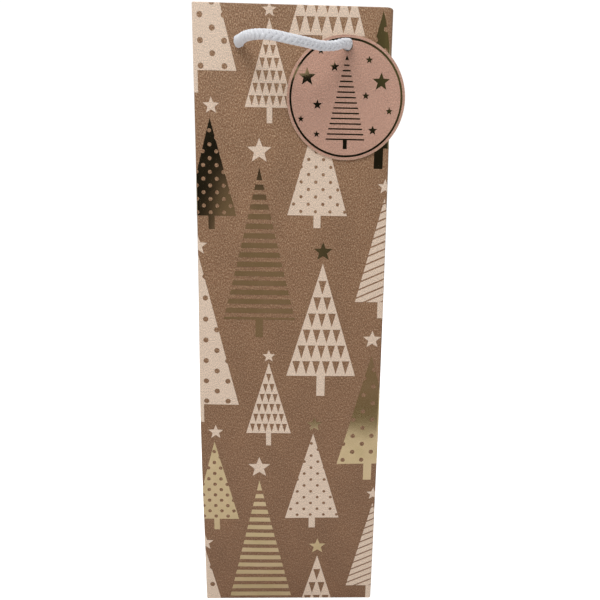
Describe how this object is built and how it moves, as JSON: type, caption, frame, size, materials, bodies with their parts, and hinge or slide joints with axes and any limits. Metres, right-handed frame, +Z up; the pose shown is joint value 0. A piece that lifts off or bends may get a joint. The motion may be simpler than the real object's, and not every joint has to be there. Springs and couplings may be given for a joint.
{
  "type": "wine gift bag",
  "caption": "Tall kraft paper gift bag for one bottle, with gusseted sides, a folded base, two short knotted cord handles and a round gift tag.",
  "frame": {"origin": "middle of the bag's rectangular base, on the surface it stands on", "axes": "+Z up from the base to the mouth, -Y out of the front panel, which carries the tag, and +X to the right of someone facing that panel"},
  "size_m": [0.1154, 0.1576, 0.36],
  "materials": {
    "printed_kraft": "uncoated brown kraft paper with a cream and gold foil print",
    "plain_kraft": "uncoated brown kraft paper",
    "grey_board": "uncoated grey board",
    "cord": "braided white cord",
    "tag_card": "uncoated kraft card with a gold foil print"
  },
  "bodies": {
    "bag": {"front_panel": "printed_kraft", "back_panel": "printed_kraft", "left_gusset_front": "printed_kraft", "left_gusset_rear": "printed_kraft", "right_gusset_front": "printed_kraft", "right_gusset_rear": "printed_kraft", "seam_tab": "plain_kraft", "front_turn_in": "plain_kraft", "back_turn_in": "plain_kraft", "left_turn_in": "plain_kraft", "right_turn_in": "plain_kraft", "front_handle_card": "grey_board", "back_handle_card": "grey_board", "bottom_flap_left": "printed_kraft", "bottom_flap_right": "printed_kraft", "bottom_flap_front": "printed_kraft", "bottom_flap_back": "printed_kraft", "front_left_knot": "cord", "front_right_knot": "cord", "back_left_knot": "cord", "back_right_knot": "cord"},
    "front_handle": {"front_handle_cord": "cord"},
    "back_handle": {"back_handle_cord": "cord"},
    "tag": {"gift_tag": "tag_card"},
    "base_insert": {"base_card": "grey_board"}
  },
  "joints": [
    {"name": "front_handle_swing", "type": "hinge", "parent": "bag", "child": "front_handle", "pos_m": [0, -0.0494, 0.34], "axis": [-1, 0, 0], "range_deg": [-64, 99]},
    {"name": "back_handle_swing", "type": "hinge", "parent": "bag", "child": "back_handle", "pos_m": [0, 0.0494, 0.34], "axis": [1, 0, 0], "range_deg": [-64, 99]},
    {"name": "tag_swing", "type": "hinge", "parent": "bag", "child": "tag", "pos_m": [0.029, -0.0458, 0.34], "axis": [0, -1, 0], "range_deg": [-63, 243]},
    {"name": "base_card_lift", "type": "slide", "parent": "bag", "child": "base_insert", "axis": [0, 0, 1], "range_m": [0, 0.319]}
  ]
}
